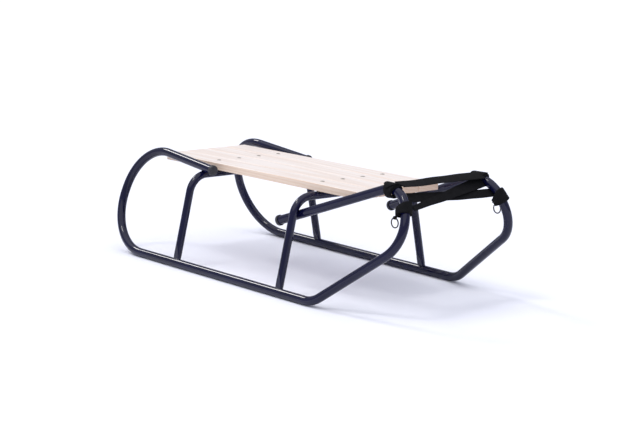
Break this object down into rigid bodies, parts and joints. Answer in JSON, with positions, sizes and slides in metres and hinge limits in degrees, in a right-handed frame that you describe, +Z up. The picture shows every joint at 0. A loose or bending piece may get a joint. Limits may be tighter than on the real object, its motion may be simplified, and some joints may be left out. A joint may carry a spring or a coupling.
{
  "type": "children's sled",
  "caption": "Children's sled: bent steel tube runners, tube arches, a slatted pine seat and a webbing pull strap.",
  "frame": {"origin": "on the ground, at the middle of the sled's length and width", "axes": "+X forwards, towards the end with the pull strap; +Y to the sled's left; +Z up"},
  "size_m": [0.8703, 0.403, 0.259],
  "materials": {
    "frame_paint": "gloss",
    "plate_paint": "satin",
    "pine": "satin varnish",
    "zinc_screw": "zinc plated",
    "black_plastic": "matt",
    "webbing": "woven",
    "ring_steel": "nickel plated"
  },
  "bodies": {
    "sled": {"crossing_strand": "webbing", "front_arch": "frame_paint", "front_screw_1": "zinc_screw", "front_screw_2": "zinc_screw", "front_screw_3": "zinc_screw", "front_screw_4": "zinc_screw", "front_seat_plate": "plate_paint", "left_front_cap": "black_plastic", "left_lower_wrap": "webbing", "left_rear_cap": "black_plastic", "left_ring_loop": "webbing", "left_runner": "frame_paint", "left_upper_wrap": "webbing", "lower_strand": "webbing", "rear_arch": "frame_paint", "rear_screw_1": "zinc_screw", "rear_screw_2": "zinc_screw", "rear_screw_3": "zinc_screw", "rear_screw_4": "zinc_screw", "rear_seat_plate": "plate_paint", "right_front_cap": "black_plastic", "right_lower_wrap": "webbing", "right_rear_cap": "black_plastic", "right_ring_loop": "webbing", "right_runner": "frame_paint", "right_upper_wrap": "webbing", "seat_slat_1": "pine", "seat_slat_2": "pine", "seat_slat_3": "pine", "seat_slat_4": "pine", "upper_strand": "webbing"},
    "left_ring": {"left_ring": "ring_steel"},
    "right_ring": {"right_ring": "ring_steel"}
  },
  "joints": [
    {"name": "left_ring_swing", "type": "hinge", "parent": "sled", "child": "left_ring", "pos_m": [0.39664, 0.13508, 0.19321], "axis": [1, 0, 0], "range_deg": [-35, 35]},
    {"name": "right_ring_swing", "type": "hinge", "parent": "sled", "child": "right_ring", "pos_m": [0.39664, -0.13508, 0.19321], "axis": [1, 0, 0], "range_deg": [-35, 35]}
  ]
}
